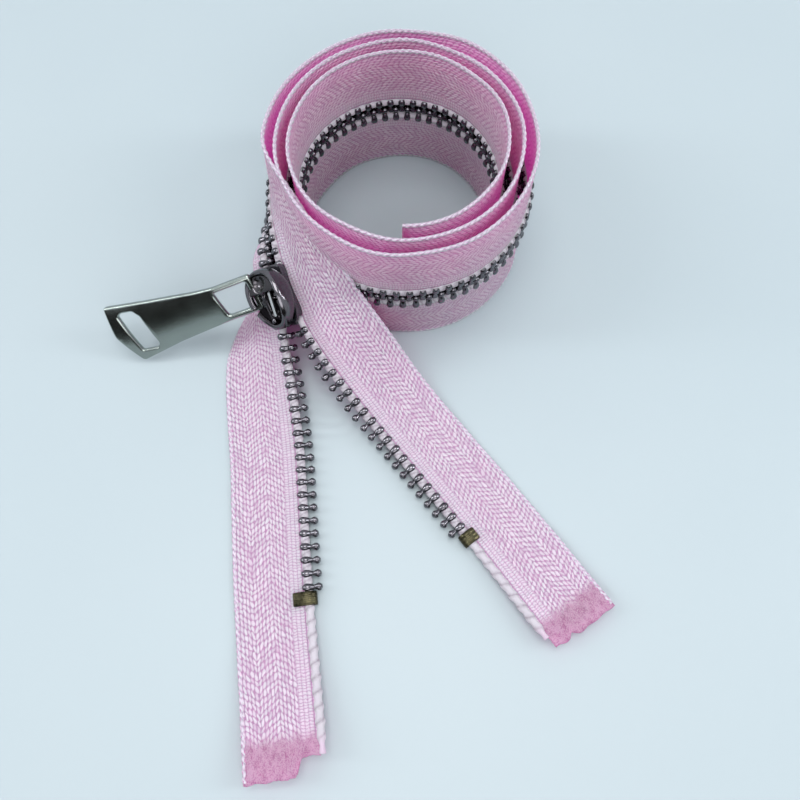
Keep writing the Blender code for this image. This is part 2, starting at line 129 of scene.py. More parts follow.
def slider_axes():
    level = np.array([math.cos(SLIDER_HEADING), math.sin(SLIDER_HEADING), 0.0])
    along = level * math.cos(SLIDER_DESCENT) - UP * math.sin(SLIDER_DESCENT)
    across_level = np.cross(UP, level)
    steepest = np.cross(along, across_level)
    steepest = steepest if steepest[2] > 0 else -steepest
    across = across_level * math.cos(SLIDER_ROLL) + steepest * math.sin(SLIDER_ROLL)
    return along, across, np.cross(along, across)


ALONG, ACROSS, OUT = slider_axes()


def in_slider(x, y, z):
    return SLIDER_CENTRE + x * ALONG + y * ACROSS + z * OUT


def hermite(p0, m0, p1, m1, q):
    return (
        (2 * q**3 - 3 * q**2 + 1) * p0 + (q**3 - 2 * q**2 + q) * m0
        + (-2 * q**3 + 3 * q**2) * p1 + (q**3 - q**2) * m1
    )


def floor_tilt(bend_height, sag=0.0):
    lowered = bend_height - SAG_DEPTH * sag
    fall = min(max((lowered - 0.3) / (HALF_WIDTH - TAPE_BEND), 0.0), 1.0)
    return -math.asin(fall)


def outer_direction(tangent, side, tilt):
    return unit(np.cross(UP, tangent)) * side * math.cos(tilt) + UP * math.sin(tilt)


def place(cord, centre, tangent, across, normal, outer, sag=0.0):
    return np.concatenate([cord, centre, tangent, across, normal, outer, [sag]])


def coil_radius(turn):
    away = (turn - TIGHT_TURN + 0.5) % 1.0 - 0.5
    tight = math.exp(-((away / TIGHT_SPREAD) ** 2))
    return COIL_FIRST_RADIUS + (TURN_SPACING - TIGHT_SPACING * tight) * turn


COIL_STEPS = np.linspace(0, COIL_TURNS, 700)


def coil_places(side):
    made = []
    for turn in COIL_STEPS:
        angle = 2 * math.pi * turn
        outward = np.array([math.sin(angle), -math.cos(angle), 0.0])
        tangent = np.array([math.cos(angle), math.sin(angle), 0.0])
        centre = np.array([*COIL_CENTRE, HALF_WIDTH]) + coil_radius(turn) * outward
        across = UP * side
        made.append(place(centre + CORD_OFFSET * across, centre, tangent, across, outward, across))
    return made


def approach_places(side):
    start = np.array([COIL_CENTRE[0] - coil_radius(COIL_TURNS), COIL_CENTRE[1], HALF_WIDTH])
    end = in_slider(-HALF_SLIDER, 0, 0)
    span = np.linalg.norm(end - start)
    made = []
    for q in np.linspace(0, 1, 41)[1:]:
        centre = hermite(start, np.array([0, -span, 0]), end, ALONG * span, q)
        ahead = hermite(start, np.array([0, -span, 0]), end, ALONG * span, q + 0.01)
        tangent = unit(ahead - centre)
        blend = smooth(q)
        normal = unit(np.array([-1.0, 0, 0]) * (1 - blend) + OUT * blend)
        normal, across = squared_up(tangent, normal, side)
        bend = centre + TAPE_BEND * across
        tilt = floor_tilt(bend[2]) if side < 0 else UPRIGHT + (REAR_TILT - UPRIGHT) * blend
        outer = outer_direction(tangent, side, tilt)
        made.append(place(centre + CORD_OFFSET * across, centre, tangent, across, normal, outer))
    return made


def slider_places(side):
    made = []
    for x in np.linspace(-HALF_SLIDER, HALF_SLIDER, 25)[1:]:
        spread = smooth((x + 2.0) / (HALF_SLIDER + 2.0))
        offset = CORD_OFFSET + (MOUTH_OFFSET - CORD_OFFSET) * spread
        across = ACROSS * side
        cord = in_slider(x, side * offset, 0)
        bend = cord + (TAPE_BEND - CORD_OFFSET) * across
        share = (x + HALF_SLIDER) / SLIDER_LENGTH
        tilt = floor_tilt(bend[2]) if side < 0 else REAR_TILT + (LEG_LIFT_ANGLE - REAR_TILT) * share
        outer = outer_direction(ALONG, side, tilt)
        made.append(place(cord, in_slider(x, 0, 0), ALONG, across, OUT, outer))
    return made


def leg_curve(side):
    mouth = in_slider(HALF_SLIDER, side * MOUTH_OFFSET, 0)
    heading = ALONG * math.cos(MOUTH_ANGLE) + ACROSS * side * math.sin(MOUTH_ANGLE)
    points = [np.array([x, y, LEG_CORD_HEIGHT]) for x, y in LEG_ROUTE[side]]
    landed, stop, end = points
    last = unit(end - stop)
    first = unit(stop - landed)
    middle = unit(first + last)
    fine = []
    stations = [(mouth, heading), (landed, first), (stop, middle), (end, last)]
    for (start, begins), (finish, ends) in zip(stations, stations[1:]):
        span = np.linalg.norm(finish - start)
        qs = np.linspace(0, 1, 60)[(1 if fine else 0):]
        fine += [hermite(start, begins * span, finish, ends * span, q) for q in qs]
    return np.array(fine)


def leg_places(side):
    curve = leg_curve(side)
    runs = runs_along(curve)
    tangents = np.gradient(curve, runs, axis=0)
    made = []
    for point, tangent, distance in list(zip(curve, tangents, runs))[1:]:
        tangent = unit(tangent)
        landed = smooth(distance / LEG_FLAT_AT)
        normal = unit(OUT * (1 - landed) + UP * landed)
        normal, across = squared_up(tangent, normal, side)
        bend = point + (TAPE_BEND - CORD_OFFSET) * across
        tilt = floor_tilt(bend[2], landed)
        if side > 0:
            lift = 1 - smooth(distance / LEG_LANDING)
            tilt = LEG_LIFT_ANGLE * lift + tilt * (1 - lift)
        outer = outer_direction(tangent, side, tilt)
        made.append(place(point, point, tangent, across, normal, outer, landed))
    return made


class Route:
    """One half's course: its cord, its directions and how far the tape has sunk, by distance run."""

    def __init__(self, side):
        coil = coil_places(side)
        approach = approach_places(side)
        slider = slider_places(side)
        leg = leg_places(side)
        self.side = side
        self.rows = np.array(coil + approach + slider + leg)
        self.run = runs_along(self.rows[:, 0:3])
        closed = len(coil) + len(approach) + len(slider)
        self.middle = runs_along(self.rows[:closed, 3:6])
        self.mouth = self.run[closed - 1]
        self.slider_start = self.run[len(coil) + len(approach) - 1]
        self.length = self.run[-1]
        self.ease_directions()
        self.chain_start = np.interp(CHAIN_START_TURN, COIL_STEPS, self.middle[: len(coil)])
        self.chain_end = self.middle[-1] - SLIDER_LENGTH + CHAIN_INTO_SLIDER

    def ease_directions(self):
        """Smooths the directions along the run, so that the tape bends where it turns and has no crease."""
        even = np.arange(0, self.length + EVEN_STEP, EVEN_STEP)
        spread = round(3 * EASE_OVER / EVEN_STEP)
        weights = np.exp(-0.5 * (np.arange(-spread, spread + 1) * EVEN_STEP / EASE_OVER) ** 2)
        weights /= weights.sum()
        for column in range(6, self.rows.shape[1]):
            values = np.interp(even, self.run, self.rows[:, column])
            padded = np.pad(values, spread, mode="edge")
            eased = np.convolve(padded, weights, mode="valid")
            self.rows[:, column] = np.interp(self.run, even, eased)

    def at(self, run):
        """The row at each distance run, going straight on past the ends."""
        run = np.atleast_1d(run)
        held = np.clip(run, 0, self.length)
        found = np.stack([np.interp(held, self.run, column) for column in self.rows.T], axis=1)
        for first in (6, 9, 12, 15):
            found[:, first:first + 3] = units(found[:, first:first + 3])
        found[:, 0:3] += (run - held)[:, None] * found[:, 6:9]
        share = np.clip((run - self.length + END_LIFT_OVER) / END_LIFT_OVER, 0, None)
        found[:, 2] += END_LIFT[self.side] * share**2
        return found

    def closed_teeth(self):
        """Distances run of this half's teeth in the closed chain: the right half's lie between the left's."""
        start = self.chain_start + (TOOTH_PITCH / 2 if self.side > 0 else 0) + 0.7
        middles = np.arange(start, self.chain_end, TOOTH_PITCH)
        return np.interp(middles, self.middle, self.run[: len(self.middle)])

    def leg_teeth(self):
        """Distances run of the free teeth, spread a little over the leg as in the photo."""
        count = LEG_TEETH[self.side]
        return self.mouth + FIRST_TOOTH + (TOOTH_PITCH + LEG_SPREAD[self.side] / count) * np.arange(count)


ROUTES = {side: Route(side) for side in (-1, 1)}


def wave(x, seed, longest, count=5):
    """A slow irregular wave of about unit height."""
    draw = np.random.RandomState(seed)
    total = np.zeros_like(np.asarray(x, float))
    for order in range(count):
        length = longest / (1 + 0.8 * order)
        total += math.exp(-0.35 * order) * np.sin(2 * math.pi * (x / length + draw.rand()))
    return total / 2.2


def tape_points(route, run, u):
    """Mid-thickness points of the tape, run along it and u from the chain's centre line."""
    shape = run.shape
    rows = route.at(run.ravel())
    u = u.ravel()
    cord, tangent, across, outer = (rows[:, i:i + 3] for i in (0, 6, 9, 15))
    sag = rows[:, 18]
    steps = 12
    point = cord.copy()
    reach = u - CORD_OFFSET
    for step in range(steps):
        middle = CORD_OFFSET + reach * (step + 0.5) / steps
        turned = smooth((middle - BEND_FROM) / BEND_OVER)[:, None]
        way = units(across * (1 - turned) + outer * turned)
        point = point + way * (reach / steps)[:, None]
    sunk = smooth((u - SAG_FROM) / SAG_OVER)
    point = point - UP * (SAG_DEPTH * sag * sunk)[:, None]
    return point.reshape(*shape, 3), tangent, outer


def roll_sway(route, run, u):
    """How far the tape leans out of its cylinder where it stands on edge, mostly at its outer edge."""
    share = np.clip((u - 5.0) / 11.5, 0, 1) ** 1.6
    fade = np.clip((route.slider_start - 8.0 - run) / 14.0, 0, 1)
    return 0.38 * share * fade * wave(run, 11 + route.side, 61.0)


def floor_swell(route, run, u):
    """Low undulations of the tape where it lies on the floor."""
    share = np.clip((u - 6.0) / 8.0, 0, 1)
    fade = np.clip((run - route.mouth - 14.0) / 18.0, 0, 1)
    return 0.16 * share * fade * (1 + wave(run, 31 + route.side, 27.0))


def laid_points(route, run, u):
    """The tape's points as it lies, with its lean in the roll and its swell on the floor."""
    points, tangent, outer = tape_points(route, run, u)
    inward = (np.cross(tangent, outer) * route.side).reshape(points.shape)
    return points - inward * roll_sway(route, run, u)[..., None] + UP * floor_swell(route, run, u)[..., None]


# Meshes


HOME = bpy.data.collections.new("zipper_visual")
bpy.context.scene.collection.children.link(HOME)


def recalc(mesh):
    work = bmesh.new()
    work.from_mesh(mesh)
    bmesh.ops.recalc_face_normals(work, faces=work.faces)
    work.to_mesh(mesh)
    work.free()


def object_of(name, mesh, finish=None, matrix=None):
    """An object in the zipper's collection; without a finish it is a tool that doesn't render."""
    made = bpy.data.objects.new(name, mesh)
    HOME.objects.link(made)
    if finish:
        mesh.materials.clear()
        mesh.materials.append(finish)
    else:
        made.hide_render = True
    if matrix is not None:
        made.matrix_world = matrix
    return made


def configure(target, **settings):
    for name, value in settings.items():
        setattr(target, name, value)
    return target


def finish_edges(piece, angle=30):
    piece.data.shade_smooth()
    piece.data.set_sharp_from_angle(angle=math.radians(angle))
    return piece


def mesh_object(name, points, faces, finish, closed=True, matrix=None):
    """A smooth piece from points in millimetres; a closed one gets its faces turned outwards."""
    mesh = bpy.data.meshes.new(name)
    mesh.from_pydata([tuple(p) for p in np.asarray(points) * MM], [], faces)
    mesh.update()
    if closed:
        recalc(mesh)
    mesh.shade_smooth()
    return object_of(name, mesh, finish, matrix)


def set_weave(mesh, values):
    """Per-vertex (across, along, worn) in millimetres, which the cloth materials read."""
    attribute = mesh.attributes.new("weave", "FLOAT_VECTOR", "POINT")
    attribute.data.foreach_set("vector", np.asarray(values, np.float32).ravel())


def grid_faces(rows, columns, closed=False):
    index = np.arange(rows * columns).reshape(rows, columns)
    across = np.roll(index, -1, axis=1) if closed else index[:, 1:]
    here = index if closed else index[:, :-1]
    quads = np.stack([here[:-1], across[:-1], across[1:], here[1:]], axis=-1)
    return quads.reshape(-1, 4).tolist()


def tube_faces(rows, columns):
    """Faces of a closed tube of rings, with both ends capped."""
    last = (rows - 1) * columns
    return grid_faces(rows, columns, closed=True) + [
        list(range(columns))[::-1], list(range(last, last + columns)),
    ]


def fan(first, count, tip):
    """Triangles from a ring of points to one point."""
    return [[first + i, first + (i + 1) % count, tip] for i in range(count)]


def full_turn(count):
    return [2 * math.pi * step / count for step in range(count)]


def end_reach(side, u):
    """How far past the cord's end the tape's cut end lies."""
    if side < 0:
        step = smooth((u - 5.9) / 1.3)
        return CUT_STEP + 0.3 - 3.2 * (1 - step) - 0.12 * np.sin(u * 1.9) - 0.05 * np.sin(u * 7.0)
    notch = np.exp(-(((u - 6.6) / 0.9) ** 2))
    return CUT_STEP - 1.0 * notch - 0.7 * np.clip((6.0 - u) / 2.5, 0, 1) + 0.1 * np.sin(u * 1.7)


END_RUN = 9.0
FUSED = {-1: 6.6, 1: 6.0}


def make_tape(side, finish):
    route = ROUTES[side]
    us = np.concatenate([np.linspace(2.45, 6.4, 12), np.linspace(6.8, 16.3, 21)])
    body = np.arange(0.0, route.length - END_RUN, 0.55)
    share = np.linspace(0, 1, 22)[1:, None]
    last = END_RUN - (body[-1] - (route.length - END_RUN)) + end_reach(side, us)[None, :]
    run = np.concatenate([np.repeat(body[:, None], len(us), axis=1), body[-1] + share * last])
    u = np.repeat(us[None, :], len(run), axis=0)
    points = laid_points(route, run, u)
    fused = np.clip((FUSED[side] + 0.8 - (route.length + CUT_STEP - run) + 0.3 * np.sin(u * 2.2)) / 2.2, 0, 1)
    fused = np.maximum(fused, np.clip((1.6 - run) / 0.8, 0, 1))
    name = f"{HALF_NAMES[side]}_woven_tape"
    made = mesh_object(name, points.reshape(-1, 3), grid_faces(*u.shape), finish, closed=False)
    set_weave(made.data, np.stack([u, run, fused], axis=-1))
    modify(made, "thickness", "SOLIDIFY", thickness=TAPE_THICKNESS * MM, offset=0)
    return made, route.length + float(end_reach(side, us).mean())


def make_yarn(name, centre, aside, above, angle, wide, thick, along, fused, finish):
    """A closed tube round a centre line: half-widths per ring and angle, and the weave values of each ring."""
    points = (
        centre[:, None, :]
        + aside[:, None, :] * (np.cos(angle)[None, :] * wide)[..., None]
        + above[:, None, :] * (np.sin(angle)[None, :] * thick)[..., None]
    )
    made = mesh_object(name, points.reshape(-1, 3), tube_faces(len(centre), len(angle)), finish)
    turn = angle[None, :] / (2 * math.pi)
    set_weave(made.data, np.stack(np.broadcast_arrays(turn, along[:, None], fused[:, None]), axis=-1))
    return made


SELVEDGE_TWIST = 2.9
SELVEDGE_HALVES = (0.40, 0.33)  # half its width and half its thickness


def make_selvedge(side, finish):
    """The twisted outer edge: a thicker white yarn laced over the tape's last warp ends."""
    route = ROUTES[side]
    run = np.arange(0.0, route.length + float(end_reach(side, np.array([16.0]))[0]) - 0.5, 0.22)
    edge, inner = (laid_points(route, run[:, None], np.full((len(run), 1), u))[:, 0] for u in (16.05, 15.2))
    way = units(edge - inner)
    flat = np.cross(units(np.gradient(edge, axis=0)), way)
    angle = np.linspace(0, 2 * math.pi, 10, endpoint=False)
    twist = 2 * (angle[None, :] - 2 * math.pi * run[:, None] / SELVEDGE_TWIST)
    radius = 1 + 0.2 * np.cos(twist)
    name = f"{HALF_NAMES[side]}_selvedge"
    wide, thick = (radius * half for half in SELVEDGE_HALVES)
    return make_yarn(name, edge, way, flat, angle, wide, thick, run, np.zeros(len(run)), finish)


def make_cord(side, finish):
    """The beaded cord: it swells between the teeth that grip it."""
    route = ROUTES[side]
    run = np.arange(0.0, route.length - 0.4, 0.25)
    rows = route.at(run)
    cord, across, normal = (rows[:, i:i + 3] for i in (0, 9, 12))
    teeth = np.concatenate([route.closed_teeth(), route.leg_teeth()])
    past = np.minimum(run - teeth[0], 0) + np.maximum(run - teeth[-1], 0)
    phase = np.interp(run, teeth, np.arange(len(teeth))) + past / TOOTH_PITCH
    bare = np.where(past == 0, 0.55, 1.0)
    swell = 0.84 - 0.13 * bare * np.cos(2 * math.pi * phase)
    fused = np.clip((run - (route.length - FUSED[side] + CUT_STEP)) / 2.5, 0, 1)
    swell = swell * (1 - 0.35 * fused)
    angle = np.linspace(0, 2 * math.pi, 12, endpoint=False)
    knit = 1 + 0.02 * np.cos(3 * angle[None, :] + 2 * math.pi * run[:, None] / (TOOTH_PITCH / 2))
    radius = swell[:, None] * knit
    name = f"{HALF_NAMES[side]}_beaded_cord"
    return make_yarn(name, cord, across, normal, angle, radius, radius, phase, fused, finish)


def tooth_template():
    """One tooth as (across, height, along) from the cord's axis: head, waist and two legs."""
    upper = [
        (-2.78, 0.28), (-2.72, 0.66), (-2.48, 0.98), (-2.1, 1.12), (-1.75, 1.02), (-1.4, 0.76),
        (-1.15, 0.74), (-0.85, 0.98), (-0.4, 1.24), (0.1, 1.32), (0.6, 1.24), (0.94, 1.02), (1.06, 0.84),
        (0.84, 0.74), (0.4, 0.84), (-0.1, 0.88), (-0.6, 0.66), (-0.8, 0.34),
    ]
    a, h = np.array(upper + [(a, -h) for a, h in reversed(upper)]).T
    width = np.interp(a, [-2.75, -2.5, -1.9, -1.5, -1.15, -0.6, 0.0, 0.5, 1.0],
                      [0.40, 0.60, 0.66, 0.40, 0.36, 0.60, 0.74, 0.74, 0.46])
    rings = []
    for share, rise, inset in (
        (-1.0, 0.60, 0.24), (-0.88, 0.80, 0.1), (-0.55, 0.95, 0.02), (0.0, 1.0, 0.0),
        (0.55, 0.95, 0.02), (0.88, 0.80, 0.1), (1.0, 0.60, 0.24),
    ):
        ring_a = np.where(a < -2.2, a + inset, np.where(a > 0.8, a - inset, a))
        rings.append(np.stack([ring_a, h * rise, share * width], axis=1))
    return np.concatenate(rings), tube_faces(len(rings), len(a))


def nub_template():
    """The small boss on a tooth's head that sits in its neighbour's dimple."""
    points = []
    rings, sides = 3, 8
    for ring in range(rings):
        lift = math.sin(ring / rings * math.pi / 2)
        out = math.cos(ring / rings * math.pi / 2)
        for angle in full_turn(sides):
            points.append((-2.12 + 0.42 * out * math.cos(angle), 0.5 * out * math.sin(angle), 0.5 + 0.3 * lift))
    points.append((-2.12, 0.0, 0.8))
    faces = grid_faces(rings, sides, closed=True) + fan((rings - 1) * sides, sides, rings * sides)
    return np.array(points), faces + [list(range(sides))[::-1]]


def make_teeth(name, side, runs, finish, seed):
    route = ROUTES[side]
    templates = (tooth_template(), nub_template())
    draw = np.random.RandomState(seed)
    all_points, all_faces = [], []
    base = 0
    for row in route.at(runs):
        cord, tangent, across, normal = (row[i:i + 3] for i in (0, 6, 9, 12))
        twist, lean = draw.normal(0, 0.018, 2)
        turned = unit(tangent + twist * across + lean * normal)
        reach = unit(across - turned * (across @ turned))
        out = np.cross(turned, reach) * np.sign(np.cross(tangent, across) @ normal)
        for template, part in templates:
            x, y, z = template.T[..., None]
            all_points.append(cord + x * reach + y * out + z * turned)
            all_faces += [[i + base for i in face] for face in part]
            base += len(template)
    return finish_edges(mesh_object(name, np.concatenate(all_points), all_faces, finish), 38)


def make_top_stop(side, finish):
    """A strip bent round the cord and pressed on to the tape."""
    route = ROUTES[side]
    run = route.length - STOP_FROM_END[side]
    row = route.at(run)[0]
    cord, tangent, across, normal = (row[i:i + 3] for i in (0, 6, 9, 12))
    reach = STOP_REACH[side]
    drop = 0.35 if side < 0 else 0.2
    bend = [math.pi * (0.5 + step / 12) for step in range(13)]
    outside, inside = (
        [(a * math.cos(angle), h * math.sin(angle)) for angle in bend] for a, h in ((1.66, 1.30), (1.24, 0.90))
    )
    over = [(reach, 0.95 - drop), (reach - 0.12, 1.18 - drop), (reach * 0.6, 1.27 - drop * 0.4), (0.6, 1.31)]
    under = [(a, -h) for a, h in reversed(over)]
    back = [(0.6, -0.9), (reach * 0.6, -0.85 + drop * 0.4), (reach, -0.72 + drop)]
    front = [(a, -h) for a, h in reversed(back)]
    outline = np.array(over + outside + under + back + inside[::-1] + front)
    rings = []
    half = STOP_LENGTH / 2
    lip = np.array([half, half - 0.12])
    for t in np.concatenate([-lip, np.linspace(-half + 0.25, half - 0.25, 19), lip[::-1]]):
        inset = 0.16 * (1 - min((half - abs(t)) / 0.14, 1.0))
        groove = 0.07 * (0.5 - 0.5 * math.cos(2 * math.pi * t / 0.72))
        ring = outline.copy()
        thin = np.abs(outline[:, 1]) > 0.93 - drop
        ring[thin, 1] *= 1 - inset - groove * 0.9
        ring[:, 0] = np.where(outline[:, 0] > reach - 0.3, outline[:, 0] - inset, ring[:, 0])
        ring[:, 0] = np.where(outline[:, 0] < -1.0, outline[:, 0] + inset * 0.8 + groove * 0.5, ring[:, 0])
        rings.append(cord + ring[:, :1] * across + ring[:, 1:] * normal + t * tangent)
    name = f"{HALF_NAMES[side]}_crimped_stop"
    faces = tube_faces(len(rings), len(outline))
    return finish_edges(mesh_object(name, np.concatenate(rings), faces, finish), 42)


def placing(origin, axes):
    turn = Matrix([[axes[j][i] for j in range(3)] for i in range(3)]).to_4x4()
    return Matrix.Translation(Vector(origin) * MM) @ turn


SLIDER_PLACE = placing(SLIDER_CENTRE, (ALONG, ACROSS, OUT))
CROWN_BASE = 2.2  # half the slider's thickness: the crown stands on its top wing


def evaluated_mesh(piece):
    bpy.context.view_layer.update()
    return bpy.data.meshes.new_from_object(piece.evaluated_get(bpy.context.evaluated_depsgraph_get()))


def modify(piece, name, kind, **settings):
    configure(piece.modifiers.new(name, kind), **settings)


def curve_through(points, steps):
    """A closed outline through the points, rounded by Catmull-Rom pieces."""
    points = np.array(points, float)
    made = []
    count = len(points)
    for i in range(count):
        p0, p1, p2, p3 = (points[(i + k) % count] for k in (-1, 0, 1, 2))
        for step in range(steps):
            q = step / steps
            made.append(tuple(0.5 * (
                2 * p1 + (p2 - p0) * q + (2 * p0 - 5 * p1 + 4 * p2 - p3) * q * q
                + (3 * p1 - p0 - 3 * p2 + p3) * q**3
            )))
    return made


def mirrored(points):
    return [(x, -y) for x, y in points] + [(x, y) for x, y in reversed(points) if y > 0]


def plate_mesh(name, outlines, low, high, round_by=0.0, steps=3):
    """A plate from closed outlines, the first its edge and the others holes, with rounded edges."""
    data = configure(
        bpy.data.curves.new(name, "CURVE"), dimensions="2D", fill_mode="BOTH", bevel_resolution=steps,
        extrude=((high - low) / 2 - round_by) * MM, bevel_depth=round_by * MM, offset=-round_by * MM,
    )
    for outline in outlines:
        spline = data.splines.new("POLY")
        spline.points.add(len(outline) - 1)
        for target, (x, y) in zip(spline.points, outline):
            target.co = (x * MM, y * MM, 0, 1)
        spline.use_cyclic_u = True
    drawn = bpy.data.objects.new(name, data)
    HOME.objects.link(drawn)
    mesh = evaluated_mesh(drawn)
    bpy.data.objects.remove(drawn)
    welded = bmesh.new()
    welded.from_mesh(mesh)
    bmesh.ops.remove_doubles(welded, verts=welded.verts, dist=1e-6)
    bmesh.ops.translate(welded, verts=welded.verts, vec=(0, 0, (high + low) / 2 * MM))
    bmesh.ops.recalc_face_normals(welded, faces=welded.faces)
    welded.to_mesh(mesh)
    welded.free()
    return mesh


def bake_modifiers(piece):
    """The piece's mesh with its modifiers applied, and the helpers they used removed."""
    mesh = evaluated_mesh(piece)
    helpers = {m.object for m in piece.modifiers if m.type == "BOOLEAN"}
    piece.modifiers.clear()
    piece.data = mesh
    for helper in helpers:
        bpy.data.objects.remove(helper)


def subtract(piece, tool):
    modify(piece, tool.name, "BOOLEAN", operation="DIFFERENCE", solver="EXACT", object=tool)


def make_slider_body(finish):
    half = HALF_SLIDER
    outline = curve_through(mirrored([
        (-half, 2.2), (-half + 0.35, 3.3), (-half + 1.4, 3.6), (-2.5, 3.65), (-0.5, 3.8),
        (1.6, 4.15), (3.4, 4.4), (4.9, 4.0), (half - 0.25, 2.9), (half, 1.5),
    ]), 5)
    wings = plate_mesh("wings", [outline], -CROWN_BASE, CROWN_BASE)
    body = object_of("slider_wings", wings, finish, SLIDER_PLACE)
    diamond = curve_through(mirrored([(0.4, 0.0), (2.4, 0.5), (4.6, 0.75), (5.7, 0.45)]), 3)
    past = half + 2
    channel = mirrored([(-past, 3.32), (-1.5, 3.32), (1.0, 3.45), (3.6, 3.85), (past, 4.5)])
    around = [(-20, -20), (20, -20), (20, 20), (-20, 20)]
    for name, outer, half_height in (("channel", channel, 1.55), ("slot", around, 0.65)):
        room = plate_mesh(name, [outer, diamond], -half_height, half_height)
        subtract(body, object_of(name, room, matrix=SLIDER_PLACE))
    bake_modifiers(body)
    modify(
        body, "edges", "BEVEL", width=0.16 * MM, segments=3, limit_method="ANGLE", angle_limit=math.radians(32),
    )
    return finish_edges(body)


CROWN_HALF_LENGTH = 6.1
CROWN_HALF_WIDTH = 3.8
CROWN_FAR_WIDTH = 5.0
CROWN_SKEW = 0.1
RING_NEAR, RING_FAR, RING_BAR = -3.75, 4.1, 1.15  # the pull's ring, across it, and the thickness of its bars
RING_GAP = 0.15
PULL_SWING = 65.0
ARM_REACH = 3.8
PULL_THICKNESS = 1.24


def leaf(share, size=1.0):
    """The crown's outline at a share of the way round, from its front end."""
    angle = 2 * math.pi * share
    fullness = abs(math.sin(angle)) ** 0.84
    x = CROWN_HALF_LENGTH * math.cos(angle) * size
    half_width = CROWN_HALF_WIDTH if math.sin(angle) < 0 else CROWN_FAR_WIDTH
    y = half_width * math.copysign(fullness, math.sin(angle)) * size
    return x, y * (1 - 0.12 * math.cos(angle)) + CROWN_SKEW * x


def crown_top(x):
    """Height of the crown's rim along it, highest towards the rear."""
    q = min(max((x + CROWN_HALF_LENGTH) / (2 * CROWN_HALF_LENGTH), 0), 1)
    return 2.1 + 1.95 * math.sin(math.pi * (0.16 + 0.78 * q)) ** 0.9


RIM_SECTION = [
    (0.9, -0.02), (0.3, 0.0), (-0.05, 0.2), (-0.22, 0.55), (-0.2, 0.9), (-0.05, 1.2),
    (0.2, 1.4), (0.5, 1.46), (0.8, 1.42), (1.02, 1.24), (1.14, 0.95), (1.2, 0.3),
]
RIM_HEIGHT = 1.46


def make_crown(finish, dark):
    """A leaf-shaped cap: a raised rim round a sunk middle, open on the pull's side where the ring goes in. The
    middle gets the darker finish, which is painted shade in the recess.
    """
    around = 96
    points = []
    for step in range(around):
        share = step / around
        x, y = leaf(share)
        ahead = np.array(leaf(share + 0.002)) - np.array(leaf(share - 0.002))
        inward = unit(np.array([-ahead[1], ahead[0]]))
        top = crown_top(x)
        open_side = smooth((x + 6.0) / 0.9) * smooth((1.7 - x) / 0.9) * (1.0 if y < 0 else 0.0)
        low = CROWN_BASE - 0.1 + (top - 1.05) * open_side
        for inset, height in RIM_SECTION:
            z = low + (CROWN_BASE + top - low) * min(height / RIM_HEIGHT, 1.0)
            points.append((x + inward[0] * inset, y + inward[1] * inset, z))
    count = len(RIM_SECTION)
    faces = grid_faces(around + 1, count, closed=True)
    faces = [[i % (around * count) for i in face] for face in faces]
    rim = mesh_object("crown_rim", points, faces, finish, matrix=SLIDER_PLACE)
    well = make_well(dark)
    for piece in (rim, well):
        for room in ring_rooms():
            subtract(piece, room)
        bake_modifiers(piece)
        finish_edges(piece, 40)
    return rim, well


def ring_rooms():
    """Tools that cut the room the pull's ring needs in the crown, over its whole swing."""
    place = pull_place()
    half = PULL_THICKNESS / 2 + RING_GAP
    swing = math.radians(PULL_SWING)

    def swept(name, start, end, reach):
        """The room of a bar round the pull's axis: a round, with the swept arm on it when it has a reach."""
        turn_from = math.pi / 2 + (swing if reach else 0.0)
        turn_to = 3 * math.pi / 2 if reach else 2.5 * math.pi
        steps = 12 if reach else 20
        count = steps + (1 if reach else 0)
        angles = [turn_from + (turn_to - turn_from) * step / steps for step in range(count)]
        outline = [(half * math.cos(angle), half * math.sin(angle)) for angle in angles]
        if reach:
            beyond = 1.1 * reach
            outline += [
                (reach, -half), (beyond * math.cos(swing / 2), beyond * math.sin(swing / 2)),
                (
                    reach * math.cos(swing) - half * math.sin(swing),
                    reach * math.sin(swing) + half * math.cos(swing),
                ),
            ]
        points = [(x, y, z) for y in (start, end) for x, z in outline]
        return mesh_object(name, points, tube_faces(2, len(outline)), None, matrix=place)

    return [
        swept("near_arm", RING_NEAR - RING_GAP, RING_NEAR + RING_BAR + RING_GAP, ARM_REACH),
        swept("far_arm", RING_FAR - RING_BAR - RING_GAP, RING_FAR + RING_GAP, ARM_REACH),
        swept("cross_bar", RING_NEAR - RING_GAP, RING_FAR + RING_GAP, 0.0),
    ]


def well_depth(x, y):
    """How far below the rim the cap's middle lies: a saddle at the rear, a pit with a tongue in front."""
    rear = smooth((-0.9 - x) / 0.7)
    dimple = 0.8 * math.exp(-(((x + 3.3) / 1.3) ** 2 + (y / 1.35) ** 2) ** 2)
    saddle = 0.3 + dimple
    tongue = 0.85 * smooth((0.75 - abs(y)) / 0.3) * smooth((4.6 - x) / 0.8)
    pit = 1.75 - tongue + 0.25 * abs(y)
    brow = 0.35 * math.exp(-(((x + 0.75 - 0.45 * abs(y)) / 0.3) ** 2))
    return rear * saddle + (1 - rear) * pit - brow


def make_well(finish):
    """The cap's sunk middle: two levels of one dented leaf, joined round the edge."""
    around, rings, thick = 96, 30, 0.3
    points = []
    for level in (0.0, thick):
        for ring in range(rings):
            size = 0.84 * (1 - ring / rings)
            for step in range(around):
                x, y = leaf(step / around, size)
                lip = 0.0 if ring else 0.2
                points.append((x, y, CROWN_BASE + crown_top(x) - well_depth(x, y) - lip - level))
        points.append((0.0, 0.0, CROWN_BASE + crown_top(0.0) - well_depth(0.0, 0.0) - level))
    sheet = rings * around + 1
    faces = []
    for level in range(2):
        base = level * sheet
        faces += [[i + base for i in quad] for quad in grid_faces(rings, around, closed=True)]
        faces += fan(base + (rings - 1) * around, around, base + rings * around)
    for step in range(around):
        after = (step + 1) % around
        faces.append([step, after, sheet + after, sheet + step])
    return mesh_object("crown_well", points, faces, finish, matrix=SLIDER_PLACE)


